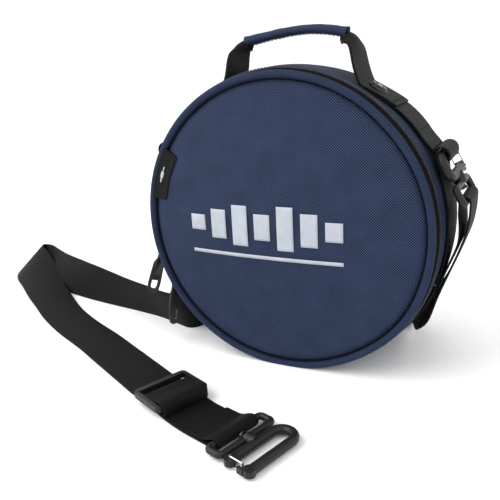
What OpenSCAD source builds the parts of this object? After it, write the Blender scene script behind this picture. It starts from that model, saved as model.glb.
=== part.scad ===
// Round padded carrying case for headphones, standing on its rim, with a shoulder strap.
// +Z is up, the lid faces -Y, and the origin is on the floor under the middle of the case.

/* [Case] */
// Outer radius of the piping round the lid
rim_r = 120; // [110:1:130]
// Half the depth between the two fabric faces
half_depth = 46; // [42:1:50]
// How far the foot is pressed flat
foot_flat = 1.5; // [0.5:0.5:2.5]
// Largest outer radius of the side wall
wall_r = 122.5; // [121:0.5:124]
// How far the lid bulges out in the middle
lid_crown = 9; // [5:1:12]
// How far the back bulges out in the middle
back_crown = 3.5; // [2:0.5:6]
// Radius of the piping cord
piping_r = 2.8; // [2:0.1:3.5]

/* [Zipper] */
// Y of the line where the two rows of teeth meet
seam_y = -34; // [-36:1:-32]
// Where the zipper ends on the right, degrees from +X
zip_from = -42; // [-50:1:-35]
// Where the zipper ends on the left, degrees from +X
zip_to = 222; // [215:1:230]
// Place of the upper slider
slider_upper_at = 196; // [190:1:198]
// Place of the lower slider
slider_lower_at = 209; // [208:1:212]
// Length of a zipper pull
pull_len = 42; // [34:1:44]

/* [Webbing] */
// Width of all the webbing
web_w = 40; // [38:1:40]
// Thickness of the webbing
web_t = 1.6; // [1.2:0.1:1.8]
// Height of the middle of the handle
handle_top = 265; // [262:1:270]

/* [Hidden] */

$fn = 96;
navy = "#2b3b63";
black = "#232325";
axis_z = rim_r - foot_flat;
gap = 0.3;

// ---- rings round the case's axis, which runs along Y at height axis_z ----

module ring() {
    translate([0, 0, axis_z]) rotate([-90, 0, 0]) rotate_extrude($fn = 180) children();
}

// an arc of a ring, between two angles counted from +X towards +Z
module ring_arc(from, to) {
    translate([0, 0, axis_z]) rotate([-90, 0, 0]) rotate([0, 0, -to])
        rotate_extrude(angle = to - from, $fn = 180) children();
}

// local +X points out of the case at this angle and radius, local Z runs along the rim
module at_angle(angle, r) {
    translate([0, 0, axis_z]) rotate([0, -angle, 0]) translate([r, 0, 0]) children();
}

module above(z) {
    difference() {
        children();
        translate([-200, -100, z - 20]) cube([400, 200, 20]);
    }
}

module disc(r, y0, y1) {
    translate([0, y0, axis_z]) rotate([-90, 0, 0]) cylinder(r = r, h = y1 - y0, $fn = 180);
}

// ---- body ----

wall_front = seam_y + 2.2;
wall_back = half_depth - 4.4;
wall_peak = -4;
wall_fall = 0.00177;
wall_skin = 1.5;
foam_out = 120.2;
foam_in = 115.2;
lining_t = 1;
panel_r = 113.8;

function wall_at(y) = wall_r - wall_fall * (y - wall_peak) * (y - wall_peak);

module wall_profile(inset) {
    polygon(concat(
        [[0, wall_front]],
        [for (i = [0:10]) let (y = wall_front + (wall_back - wall_front) * i / 10) [wall_at(y) - inset, y]],
        [[0, wall_back]]));
}

module rivet_places() {
    for (angle = [57, 123]) at_angle(angle, 0) rotate([0, 90, 0]) children();
}

module side_wall() {
    color(navy) difference() {
        above(0) ring() wall_profile(0);
        above(wall_skin) union() {
            ring() wall_profile(wall_skin);
            disc(wall_at(wall_front) - wall_skin, wall_front - 2, wall_front + 1);
            disc(wall_at(wall_back) - wall_skin, wall_back - 1, wall_back + 2);
        }
        rivet_places() cylinder(r = 2.2, h = 130);
    }
}

module wall_foam() {
    color("dimgray") difference() {
        above(2) translate([0, -28, 0]) disc(foam_out, 0, 69.5 - gap);
        translate([0, -28, 0]) disc(foam_in, -1, 75);
        difference() {
            ring() translate([110, -29]) square([20, 72]);
            ring() wall_profile(wall_skin + 0.2);
        }
        rivet_places() translate([0, 0, 117.5]) cylinder(r = 6.5, h = 10);
    }
}

module body_lining() {
    color("#3a3d44") union() {
        difference() {
            disc(foam_in - gap, wall_front + 1, 40.6);
            disc(foam_in - gap - lining_t, wall_front, 39.6);
        }
    }
}

module back_panel() {
    color(navy) ring() polygon(concat(
        [[0, half_depth - 2.2]],
        [for (i = [0:8]) let (t = i / 8) [panel_r * (1 - t) - 1.2 * (1 - t),
            half_depth - 0.8 + back_crown * (1 - pow(1 - t, 2))]]
        ));
}

module back_board() {
    color("gray") disc(panel_r - 2, 40.9, half_depth - 2.5);
}

module back_piping() {
    color(navy) above(0) ring() translate([wall_at(wall_back) - piping_r - 0.1, half_depth - 1.2])
        circle(r = piping_r, $fn = 24);
}

module zipper_tape_body() {
    color(black) ring_arc(zip_from, zip_to) translate([118.4, seam_y + 0.4]) square([0.9, 5.2]);
}

module teeth_profile(y) {
    translate([119.7, y]) square([2.5, 1.6]);
}

module zipper_teeth_body() {
    color("#3a3a3c") ring_arc(zip_from, zip_to) teeth_profile(seam_y + 0.4);
}

module zipper_stops() {
    color("silver") for (a = [zip_from - 1.1, zip_to + 0.2])
        ring_arc(a, a + 0.9) translate([119.7, seam_y + 0.4]) square([3, 1.6]);
}

band_front = -half_depth + 4.6;

module band_profile(inset) {
    polygon([[0, band_front], [119.2 - inset, band_front], [121 - inset, wall_front - gap], [0, wall_front - gap]]);
}

module hinge_band() {
    color(navy) difference() {
        intersection() {
            above(0) ring() band_profile(0);
            ring_arc(zip_to + 1.4, 360 + zip_from - 1.4) translate([100, -60]) square([40, 60]);
        }
        above(1.2) disc(117.8, -60, -20);
    }
}

// ---- webbing sewn on the side wall ----

strip_r = wall_r + 0.2;
loop_at = 25.3;
loop_from_axis = 128.8;
loop_bar_gap = 1.6;
bar_r = 3.6;
loop_w = web_w - 2;

// a long piece up the side to the loop and a short riveted one from the loop to the handle
module web_strip() {
    difference() {
        for (arc = [[-45, loop_at - 4.5], [loop_at + 4.5, 62.5]])
            ring_arc(arc[0], arc[1]) translate([strip_r, -web_w / 2]) square([web_t, web_w]);
        rivet_places() cylinder(r = 2.2, h = 140);
    }
}

module web_strip_left() { color(black) mirror([1, 0, 0]) web_strip(); }
module web_strip_right() { color(black) web_strip(); }

module side_loop(angle) {
    difference() {
        at_angle(angle, loop_from_axis) translate([0, loop_w / 2, 0]) rotate([90, 0, 0]) difference() {
            cylinder(r = bar_r + loop_bar_gap + web_t, h = loop_w);
            translate([0, 0, -1]) cylinder(r = bar_r + loop_bar_gap, h = loop_w + 2);
        }
        disc(wall_r + 0.15, -40, 40);
    }
}

module side_loop_left() { color(black) side_loop(180 - loop_at); }
module side_loop_right() { color(black) side_loop(loop_at); }

module rivet_caps() {
    color("#18181a") rivet_places() translate([0, 0, strip_r + web_t + 0.1]) {
        cylinder(r = 7, h = 1.4);
        translate([0, 0, 1.4]) cylinder(r1 = 6.2, r2 = 4.6, h = 1, $fn = 48);
    }
}

module rivet_posts() {
    color("silver") rivet_places() {
        translate([0, 0, 118.3]) cylinder(r = 6, h = 1.6);
        translate([0, 0, 119.9]) cylinder(r = 2.1, h = strip_r + web_t - 119.9);
    }
}

// ---- lid ----

lid_back = -half_depth;

module lid_panel() {
    color(navy) ring() polygon(concat(
        [[0, lid_back + 2.2]],
        [[panel_r - 0.6, lid_back + 2.2]],
        [for (i = [0:10]) let (t = i / 10) [(panel_r - 0.6) * (1 - t), lid_back + 0.4 - lid_crown * (1 - pow(1 - t, 2))]]
        ));
}

module lid_foam() { color("dimgray") disc(panel_r - 2, lid_back + 2.4, lid_back + 5); }
module lid_board() { color("gray") disc(panel_r - 3, lid_back + 5.2, lid_back + 6.6); }
module lid_lining() { color("#3a3d44") disc(panel_r - 1.5, lid_back + 6.8, lid_back + 7.6); }

module lid_piping() {
    color(navy) above(0) ring() translate([rim_r - piping_r, lid_back + 1.2]) circle(r = piping_r, $fn = 24);
}

module zipper_tape_lid() {
    color(black) ring_arc(zip_from, zip_to) polygon([
        [117.2, lid_back + 4.4], [118, lid_back + 4.4], [119.4, seam_y - 0.4], [118.6, seam_y - 0.4]]);
}

module zipper_teeth_lid() {
    color("#3a3a3c") ring_arc(zip_from, zip_to) teeth_profile(seam_y - 2);
}

// a bent flap low on the lid's left edge that covers the cable port
port_r = 109;
port_from = 148;
port_to = 169.5;

module on_lid(r0, r1, from, to, lift, thick) {
    y = lid_back + 0.4 - lid_crown * (1 - pow(port_r / panel_r, 2)) - lift;
    intersection() {
        ring_arc(from, to) translate([r0, y - thick]) square([r1 - r0, thick]);
        disc(panel_r, -80, 0);
    }
}

module port_patch() { color("#1c1c1e") on_lid(port_r - 7, port_r + 3.4, port_from, port_to, 1.4, 1.4); }

module port_welt() {
    color(navy) difference() {
        on_lid(port_r - 9.6, port_r + 4.6, port_from - 1.6, port_to + 1.6, 1.8, 1.6);
        on_lid(port_r - 7.3, port_r + 3.7, port_from - 0.2, port_to + 0.2, 0, 6);
    }
}

module port_icon() {
    color("white") on_lid(port_r - 1.6, port_r + 0.2, 155, 162, 3, 0.3);
}

// seven level bars over a thin line
bar_heights = [13, 24, 33, 21, 35, 26, 15];
bar_pitch = 19.4;
bar_w = 13.5;
graphic_x = -10;
graphic_z = 121.5;

module lid_graphic() {
    y = lid_back - 0.2 - lid_crown;
    color("lightgray") intersection() {
        union() {
            for (i = [0:6]) translate([graphic_x + (i - 3) * bar_pitch - bar_w / 2, -80, graphic_z - bar_heights[i] / 2])
                cube([bar_w, 60, bar_heights[i]]);
            translate([graphic_x - 65, -80, graphic_z - 26]) cube([130, 60, 3]);
        }
        ring() polygon(concat(
            [for (i = [0:10]) let (t = i / 10) [92 * (1 - t), lid_back + 0.3 - lid_crown * (1 - pow(0.81 * (1 - t), 2))]],
            [for (i = [10:-1:0]) let (t = i / 10) [92 * (1 - t), lid_back - lid_crown * (1 - pow(0.81 * (1 - t), 2))]]));
    }
}

module mesh_pocket() {
    color("#2a2b2f") intersection() {
        disc(panel_r - 4, lid_back + 8, lid_back + 8.8);
        translate([-120, -60, 0]) cube([240, 60, axis_z + 12]);
    }
}

module pocket_binding() {
    color(black) translate([-108, lid_back + 7.9, axis_z + 12.2]) cube([216, 1.4, 9]);
}

// ---- zipper sliders and pulls ----

slider_w = 9;
slider_len = 13;
bail_r = 126;
pin_r = 0.8;

module slider_body() {
    color("#1b1b1d") translate([0, seam_y, 0]) {
        translate([122.8, -slider_w / 2, -slider_len / 2]) cube([1.6, slider_w, slider_len]);
        translate([116.6, -0.22, -2]) cube([6.4, 0.44, 4]);
        translate([116.2, -4, -6]) cube([1.6, 8, 12]);
        difference() {
            translate([124.2, -1.3, -4.5]) cube([3.6, 2.6, 9]);
            translate([bail_r, 3, 0]) rotate([90, 0, 0]) cylinder(r = pin_r + 0.2, h = 6, $fn = 24);
        }
    }
}

module slider_upper() { at_angle(slider_upper_at, 0) slider_body(); }
module slider_lower() { at_angle(slider_lower_at, 0) slider_body(); }

// a pull hanging along local +X from its cross pin
module pull_body() {
    color("#1b1b1d") difference() {
        union() {
            for (s = [-1, 1]) translate([-1.2, s * 2.6 - 0.9, -1.1]) cube([9, 1.8, 2.2]);
            translate([7, -3.5, -1.1]) cube([4, 7, 2.2]);
            translate([10.6, -4, -1.2]) cube([pull_len - 14.6, 8, 2.4]);
            translate([pull_len - 4, 0, -1.2]) cylinder(r = 4, h = 2.4, $fn = 32);
            translate([0, 2, 0]) rotate([90, 0, 0]) cylinder(r = pin_r, h = 4, $fn = 24);
        }
        translate([pull_len - 6, 0, -3]) cylinder(r = 2.3, h = 6, $fn = 24);
    }
}

pull_upper_heading = 249.6;
pull_lower_heading = 263.8;

module pull(angle, heading) {
    at_angle(angle, bail_r) rotate([0, angle - heading, 0]) translate([0, seam_y, 0]) pull_body();
}

module pull_upper() { pull(slider_upper_at, pull_upper_heading); }
module pull_lower() { pull(slider_lower_at, pull_lower_heading); }

// ---- carrying handle ----

grip_half = 42;
leg_pivot_z = 244.5;
leg_disc_r = 13.5;

// webbing that stands up from the side strip and narrows into the grip
module handle_leg() {
    hull() {
        translate([51.4, 0, leg_pivot_z]) rotate([0, 90, 0]) cylinder(r = leg_disc_r, h = 1.8, $fn = 48);
        translate([48.8, -11, leg_pivot_z + 8]) cube([2, 22, 4]);
        translate([grip_half + 0.8, -4.5, handle_top - 9.5]) cube([2, 9, 6]);
    }
}

module handle_leg_left() { color(black) mirror([1, 0, 0]) handle_leg(); }
module handle_leg_right() { color(black) handle_leg(); }

// the grip bows up in the middle: an arc of this radius
grip_bow = 5.5;
grip_arc_r = (grip_half * grip_half + grip_bow * grip_bow) / (2 * grip_bow);
grip_half_angle = asin(grip_half / grip_arc_r);

module grip_arc(r_in, r_out) {
    translate([0, 0, handle_top - grip_arc_r]) rotate([-90, 0, 0]) rotate([0, 0, -90 - grip_half_angle])
        rotate_extrude(angle = 2 * grip_half_angle, $fn = 360) translate([grip_arc_r, 0]) difference() {
            circle(r = r_out, $fn = 24);
            if (r_in > 0) circle(r = r_in, $fn = 24);
        }
}

module handle_core() { color(black) grip_arc(0, 3.2); }
module handle_cover() { color(navy) grip_arc(3.4, 5); }

// ---- strap hooks: local X runs from the strap to the hook, Y across, Z through ----

eye_half = 25.5;
eye_bar = 2.7;
eye_gap = 6;
near_bar = 14.5;
far_bar = 31.5;
hook_end = 15.8;
knob_at = -23.5;
wire_r = 0.75;
wire_off = 3.35;

module rod_y(x, y0, y1, r) {
    translate([x, y0, 0]) rotate([-90, 0, 0]) cylinder(r = r, h = y1 - y0, $fn = 32);
}

module rod_x(x0, x1, y, r) {
    translate([x0, y, 0]) rotate([0, 90, 0]) cylinder(r = r, h = x1 - x0, $fn = 32);
}

module hook_eye() {
    color(black) difference() {
        union() {
            for (s = [-1, 1]) {
                rod_y(s * eye_gap, -eye_half + 3, eye_half - 3, eye_bar);
                rod_x(-eye_gap + 3, eye_gap - 3, s * eye_half, eye_bar);
                for (t = [-1, 1]) translate([s * (eye_gap - 3), t * (eye_half - 3), 0])
                    rotate([0, 0, (s > 0 ? (t > 0 ? 0 : -90) : (t > 0 ? 90 : 180))])
                        rotate_extrude(angle = 90, $fn = 48) translate([3, 0]) circle(r = eye_bar, $fn = 32);
            }
            rod_x(eye_gap, 9.4, 0, 4.6);
        }
        rod_x(0, 12, 0, 2.25);
    }
}

module hook_pin() {
    color("silver") {
        rod_x(1.2, 2.8, 0, 3.2);
        rod_x(2.8, near_bar, 0, 2.2);
    }
}

module hook_body() {
    hub = (near_bar + far_bar) / 2;
    color("#1d1d1f") difference() {
        union() {
            rod_y(near_bar, knob_at, hook_end, bar_r);
            rod_y(far_bar, knob_at, hook_end, bar_r);
            translate([hub, hook_end, 0]) rotate_extrude(angle = 180, $fn = 64)
                translate([(far_bar - near_bar) / 2, 0]) circle(r = bar_r, $fn = 32);
            rod_x(9.7, near_bar, 0, 4.8);
            for (x = [near_bar, far_bar]) translate([x, knob_at - 1, -2.4]) cylinder(r = 4.2, h = 4.8, $fn = 32);
            translate([far_bar - 7.5, knob_at - 5, -2.4]) cube([5, 2.2, 4.8]);
        }
        translate([near_bar, knob_at - 1, -6]) cylinder(r = wire_r + 0.08, h = 12, $fn = 24);
        rod_x(0, near_bar + 0.5, 0, 2.25);
        for (s = [-1, 1]) translate([near_bar - 4.4, knob_at - 6, s > 0 ? 2.4 : -7.4]) cube([9, 9.4, 5]);
    }
}

// a hairpin of spring wire that turns about its two short ends in the near knob
module hook_gate() {
    tip = far_bar - 5.4;
    color("silver") translate([0, knob_at - 1, 0]) {
        for (s = [-1, 1]) {
            translate([0, 0, s * wire_off]) rod_x(near_bar, tip, 0, wire_r - 0.1);
            translate([near_bar, 0, s > 0 ? 1 : -wire_off - wire_r]) cylinder(r = wire_r, h = wire_off + wire_r - 1, $fn = 24);
        }
        translate([tip, 0, -wire_off - wire_r]) cylinder(r = wire_r, h = 2 * (wire_off + wire_r), $fn = 24);
    }
}

// the hook clipped in the right loop, its eye hanging below it
clipped_heading = 118.7;
clipped_eye = [loop_from_axis * cos(loop_at) - far_bar * cos(clipped_heading), 0,
    axis_z + loop_from_axis * sin(loop_at) - far_bar * sin(clipped_heading)];

module clipped() {
    translate(clipped_eye) rotate([0, -clipped_heading, 0]) rotate([180, 0, 0]) children();
}

module clipped_hook() { clipped() hook_body(); }
module clipped_hook_pin() { clipped() hook_pin(); }
module clipped_hook_eye() { clipped() hook_eye(); }
module clipped_hook_gate() { clipped() hook_gate(); }

// the strap's turn through the clipped hook's eye
module strap_turn() {
    bar = [clipped_eye[0] - eye_gap * cos(clipped_heading), clipped_eye[2] - eye_gap * sin(clipped_heading)];
    color(black) translate([bar[0], web_w / 2 - 0.4, bar[1]]) rotate([90, 0, 0]) linear_extrude(web_w - 0.8) {
        difference() {
            circle(r = 4.6, $fn = 48);
            circle(r = 3, $fn = 48);
            translate([-6, -6]) square([12, 6]);
        }
        translate([-4.6, -6]) square([web_t, 6.1]);
        translate([3, -6]) square([web_t, 6.1]);
    }
}

// the loose hook lies on the floor in front of the case
loose_heading = -18;
loose_eye = [14, -154, 4.65];

module loose() {
    translate(loose_eye) rotate([0, 0, loose_heading]) children();
}

module loose_hook() { loose() hook_body(); }
module loose_hook_pin() { loose() hook_pin(); }
module loose_hook_eye() { loose() hook_eye(); }
module loose_hook_gate() { loose() hook_gate(); }

// the strap's end, round the eye's outer bar and sewn back on itself
module strap_end() {
    color(black) loose() translate([-eye_gap, web_w / 2 - 0.4, 0]) rotate([90, 0, 0]) linear_extrude(web_w - 0.8) {
        difference() {
            circle(r = 4.6, $fn = 48);
            circle(r = 3, $fn = 48);
            translate([-6, -6]) square([6, 12]);
        }
        polygon([[0.1, 3.05], [-1.6, 2.8], [-9, -1.3], [-38, -2.7], [-38, -1.1], [-9, 0.5], [-1.6, 4.5], [0.1, 4.6]]);
        translate([-6, -4.6]) square([6.1, web_t]);
    }
}

// ---- strap adjuster: a three-bar slide on the strap ----

adjuster_at = [-59, -127.4, 0];
adjuster_heading = -24;
adj_long = 47;
adj_short = 35;
adj_z = 6;
adj_t = 4.8;

module adjuster_place() {
    translate(adjuster_at) rotate([0, 0, adjuster_heading]) children();
}

module adjuster() {
    color(black) adjuster_place() difference() {
        translate([0, 0, adj_z]) linear_extrude(adj_t) for (x = [-1, 1]) for (y = [-1, 1]) hull() {
            translate([x * (adj_short / 2 - 4), y * (adj_long / 2 - 4)]) circle(r = 4, $fn = 32);
            translate([0, y * (adj_long / 2 - 4)]) circle(r = 4, $fn = 32);
            translate([x * (adj_short / 2 - 4), 0]) circle(r = 4, $fn = 32);
            circle(r = 4, $fn = 32);
        }
        for (s = [-1, 1]) translate([s * 8.4 - 5, -20.4, adj_z - 1]) cube([10, 40.8, adj_t + 2]);
        translate([-5, -20.4, adj_z + 3]) cube([10, 40.8, 5]);
    }
}

// the strap's layer over the middle bar and on over the rail nearer the loose hook
module adjuster_wrap() {
    bar = adj_z + 3.2;
    rail = adj_z + adj_t + 0.4;
    color("#1e1e20") adjuster_place() translate([0, web_w / 2, 0]) rotate([90, 0, 0]) linear_extrude(web_w)
        polygon([[-12.8, 4.2], [-11.4, 4.2], [-4.6, bar], [4.6, bar], [12.4, rail], [16.8, rail + 0.4], [18.4, rail - 0.6],
                 [18.6, 4], [20.2, 4], [20, rail + 0.2], [17.6, rail + 1.9], [12.2, rail + 1.5], [5, bar + 1.5],
                 [-5.2, bar + 1.5], [-12, 5.7], [-12.8, 5.7]]);
}

// ---- the shoulder strap: a flat ribbon swept along hand-placed stations ----
// each station is the ribbon's middle and the half vector to its upper or rear edge

half_w = web_w / 2;
route_inner = [
    [[129.8, 0, 131.5], [0, 19.6, 0]], [[130.8, 0, 121], [0, 20, 0]], [[130.4, 0, 111], [0, 20, 0]],
    [[127.4, 0, 101], [0, 20, 0]], [[120.1, 0, 82], [0, 20, 0]], [[113.9, 2, 66], [0, 19.8, 2]]
];
route_outer = [
    [[137.4, 0, 131.5], [0, 19.6, 0]], [[135.5, 0, 118], [0, 20, 0]], [[130.5, 0, 102], [0, 20, 0]],
    [[123, 0, 82], [0, 20, 0]], [[116.5, 2, 66], [0, 19.8, 2]]
];
route_shared = [
    [[108, 16, 46], [1, 17, 10]], [[100.5, 34, 32], [6, 12, 15]], [[95, 54, 24], [8, 5, 17.5]],
    [[84, 69, 20.5], [3, 1, 19.8]], [[64, 76, 20.5], [0, 0, 20]], [[35, 77, 20.5], [0, 0, 20]],
    [[0, 76, 20.5], [0, 0, 20]], [[-35, 76, 20.5], [0, 0, 20]], [[-70, 74, 20.5], [0, 0, 20]],
    [[-94, 62, 20.5], [0, 0, 20]], [[-103, 40, 20.5], [0, 0, 20]], [[-104, 16, 20.5], [0, 0, 20]],
    [[-104, -4, 20.5], [0, -2, 20]], [[-113, -16, 20], [0, -5, 19.5]], [[-130, -14, 19.5], [-1, -7, 19]],
    [[-155, -6, 19.5], [-1, -7, 19]], [[-190, 2, 20], [0, -5, 19.5]], [[-230, 12, 20.5], [0, 0, 20]],
    [[-270, 23, 20.5], [1, 5, 19.5]], [[-310, 36, 20.5], [4, 8, 18.5]], [[-345, 51, 20], [10, 10, 17]],
    [[-372, 63, 19.5], [15, 9, 18]], [[-384, 64, 19], [17, 8, 18]], [[-381, 57, 18.5], [17, 8, 18]],
    [[-366, 46, 17], [16, 12, 15.5]], [[-345, 33, 12], [14, 15, 10]], [[-318, 14, 5.5], [12, 17, 4]],
    [[-288, -6, 1.2], [11.5, 17, 0.4]], [[-256.5, -27, 0.2], [10.5, 17.2, 0]], [[-221, -46.5, 0.2], [9.5, 17.6, 0]]
];
// the straight stretch under the adjuster
run_at = [-180, -65.4, 0.2];
run_heading = -27;
run_dir = [cos(run_heading), sin(run_heading), 0];
run_half = [-half_w * sin(run_heading), half_w * cos(run_heading), 0];
route_run = [for (s = [0, 30, 60, 90, 104]) [run_at + s * run_dir, run_half]];
route_tail = [
    [run_at + [0, 0, 1.6] + 126 * run_dir, run_half], [run_at + [0, 0, 1.6] + 142 * run_dir, run_half],
    [[-36, -137.4, 0.3], [8, 18.3, 0]], [[-22, -142.8, 0.4], [6.6, 18.9, 0]], [[2, -150.1, 0.2], [6.2, 19, 0]]
];

function spline(a, b, c, d, t) = 0.5 * (2 * b + (c - a) * t + (2 * a - 5 * b + 4 * c - d) * t * t
    + (3 * b - a - 3 * c + d) * t * t * t);
function unit(v) = v / norm(v);
function pick(list, i) = list[max(0, min(len(list) - 1, i))];
function stations(list, steps) = concat(
    [for (i = [0:len(list) - 2]) for (k = [0:steps - 1])
        [for (m = [0, 1]) spline(pick(list, i - 1)[m], pick(list, i)[m], pick(list, i + 1)[m], pick(list, i + 2)[m], k / steps)]],
    [pick(list, len(list) - 1)]);
function heading(list, i) = unit(pick(list, i + 1)[0] - pick(list, i - 1)[0]);
function ribbon_ring(list, i, low, high) = let (
    c = list[i][0], h = list[i][1], n = unit(cross(heading(list, i), h)))
    [c - h + n * low, c + h + n * low, c + h + n * high, c - h + n * high];

module ribbon(route, low, high, steps) {
    list = stations(route, steps);
    last = len(list) - 1;
    points = [for (i = [0:last]) for (p = ribbon_ring(list, i, low, high)) p];
    sides = [for (i = [0:last - 1]) for (k = [0:3]) let (a = 4 * i + k, b = 4 * i + (k + 1) % 4)
        for (f = [[a, b, b + 4], [a, b + 4, a + 4]]) f];
    polyhedron(points, concat([[3, 2, 1], [3, 1, 0]], sides,
        [[4 * last, 4 * last + 1, 4 * last + 2], [4 * last, 4 * last + 2, 4 * last + 3]]));
}

module strap_main() { color(black) ribbon(concat(route_outer, route_shared, route_run, route_tail), 0, web_t, 2); }
module strap_tail() { color(black) ribbon(route_inner, 0, web_t, 3); }

side_wall();
wall_foam();
body_lining();
back_panel();
back_board();
back_piping();
zipper_tape_body();
zipper_teeth_body();
zipper_stops();
hinge_band();
web_strip_left();
web_strip_right();
side_loop_left();
side_loop_right();
rivet_caps();
rivet_posts();
lid_panel();
lid_foam();
lid_board();
lid_lining();
lid_piping();
zipper_tape_lid();
zipper_teeth_lid();
port_patch();
port_welt();
port_icon();
lid_graphic();
mesh_pocket();
pocket_binding();
slider_upper();
slider_lower();
pull_upper();
pull_lower();
handle_leg_left();
handle_leg_right();
handle_core();
handle_cover();
clipped_hook();
clipped_hook_pin();
clipped_hook_eye();
clipped_hook_gate();
strap_turn();
loose_hook_eye();
strap_end();
loose_hook();
loose_hook_pin();
loose_hook_gate();
adjuster();
adjuster_wrap();
strap_main();
strap_tail();
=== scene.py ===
# Headphone carrying case: its looks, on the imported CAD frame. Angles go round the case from
# its right side.
import math

import bpy
from mathutils import Matrix, Vector, noise


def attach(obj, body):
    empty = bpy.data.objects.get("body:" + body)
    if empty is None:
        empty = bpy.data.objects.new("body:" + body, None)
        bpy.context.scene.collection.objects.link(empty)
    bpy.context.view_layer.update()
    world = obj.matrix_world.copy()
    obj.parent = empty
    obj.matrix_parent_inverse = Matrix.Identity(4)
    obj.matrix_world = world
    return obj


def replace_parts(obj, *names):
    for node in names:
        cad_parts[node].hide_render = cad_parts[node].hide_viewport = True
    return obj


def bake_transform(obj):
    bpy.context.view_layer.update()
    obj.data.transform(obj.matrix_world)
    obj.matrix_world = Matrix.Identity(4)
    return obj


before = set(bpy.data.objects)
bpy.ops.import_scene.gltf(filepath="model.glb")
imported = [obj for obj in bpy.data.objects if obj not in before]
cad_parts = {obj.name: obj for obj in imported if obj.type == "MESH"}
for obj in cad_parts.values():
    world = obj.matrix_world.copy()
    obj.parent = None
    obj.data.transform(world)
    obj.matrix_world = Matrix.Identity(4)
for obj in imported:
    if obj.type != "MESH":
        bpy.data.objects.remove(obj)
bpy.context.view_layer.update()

MM = 0.001
ZC = 118.5  # height of the case's round axis
SEAM = -34.0  # where the zipper runs, between lid and case
PANEL_R = 113.4  # lid face and back face, to their piping
LID_RIM_R, BACK_RIM_R, RIM_Y, CORD_R = 117.2, 115.9, 44.8, 2.85  # the two piping cords
WALL_R = 122.5  # the side wall where it stands proudest
SIDE_WEB_R = 122.9  # underside of the webbing on the wall
LEG_R = 124.5  # the handle's webbing, sewn over the side webbing
COIL_R = 120.0
WEB_HALF, WEB_T = 20.0, 1.6  # shoulder webbing: half its width, and its thickness


def vec(x, y, z):
    return Vector((x * MM, y * MM, z * MM))


# ---------------------------------------------------------------- camera

AZ, EL, ROLL = math.radians(26.913), math.radians(18.066), math.radians(-3.303)
back = Vector((math.sin(AZ) * math.cos(EL), -math.cos(AZ) * math.cos(EL), math.sin(EL)))
right = (-back).cross(Vector((0, 0, 1))).normalized()
up = right.cross(-back)
cam_x = right * math.cos(ROLL) + up * math.sin(ROLL)
cam_y = up * math.cos(ROLL) - right * math.sin(ROLL)
cam_data = bpy.data.cameras.new("camera")
cam_data.sensor_width, cam_data.lens = 36, 45.07
cam_data.clip_start, cam_data.clip_end = 0.01, 20
camera = bpy.data.objects.new("camera", cam_data)
bpy.context.scene.collection.objects.link(camera)
turn = Matrix((cam_x, cam_y, back)).transposed().to_4x4()
camera.matrix_world = Matrix.Translation(vec(-49.164, 0, 82.195) + back * 0.56) @ turn
bpy.context.scene.camera = camera

# ---------------------------------------------------------------- materials


class Shader:
    """A material with one Principled shader and short calls for its nodes."""

    def __init__(self, name, color=(0.5, 0.5, 0.5), rough=0.5, metal=0.0, spec=0.5, **more):
        self.mat = bpy.data.materials.new(name)
        self.mat.use_nodes = True
        self.tree = self.mat.node_tree
        self.tree.nodes.clear()
        out = self.tree.nodes.new("ShaderNodeOutputMaterial")
        self.bsdf = self.tree.nodes.new("ShaderNodeBsdfPrincipled")
        self.tree.links.new(self.bsdf.outputs[0], out.inputs[0])
        self.set("Base Color", (*color, 1))
        self.set("Roughness", rough)
        self.set("Metallic", metal)
        self.set("Specular IOR Level", spec)
        for key, value in more.items():
            self.set(key.replace("_", " "), value)

    def set(self, name, value):
        self.wire(value, self.bsdf.inputs[name])

    def wire(self, value, socket):
        """Links a node's output to a socket, or writes a plain value there."""
        if isinstance(value, bpy.types.NodeSocket):
            self.tree.links.new(value, socket)
        elif value is not None:
            socket.default_value = value

    def math(self, op, a, b=None, c=None):
        n = self.tree.nodes.new("ShaderNodeMath")
        n.operation = op
        for socket, value in zip(n.inputs, (a, b, c)):
            self.wire(value, socket)
        return n.outputs[0]

    def cloth_axes(self):
        """Lengthwise and crosswise distance on the cloth, in millimetres."""
        n = self.tree.nodes.new("ShaderNodeAttribute")
        n.attribute_name = "cloth"
        s = self.tree.nodes.new("ShaderNodeSeparateXYZ")
        self.tree.links.new(n.outputs["Vector"], s.inputs[0])
        return s.outputs[0], s.outputs[1], n.outputs["Vector"]

    def place(self):
        return self.tree.nodes.new("ShaderNodeTexCoord").outputs["Object"]

    def noise(self, where, scale, detail=2.0):
        n = self.tree.nodes.new("ShaderNodeTexNoise")
        n.inputs["Scale"].default_value = scale
        n.inputs["Detail"].default_value = detail
        self.tree.links.new(where, n.inputs["Vector"])
        return n.outputs[0]

    def blend(self, fac, a, b):
        n = self.tree.nodes.new("ShaderNodeMix")
        n.data_type = "RGBA"
        self.wire(fac, n.inputs[0])
        self.wire((*a, 1) if isinstance(a, tuple) else a, n.inputs[6])
        self.wire((*b, 1) if isinstance(b, tuple) else b, n.inputs[7])
        return n.outputs[2]

    def bump(self, height, strength, distance):
        n = self.tree.nodes.new("ShaderNodeBump")
        n.inputs["Strength"].default_value = strength
        n.inputs["Distance"].default_value = distance
        self.tree.links.new(height, n.inputs["Height"])
        self.set("Normal", n.outputs[0])


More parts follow.
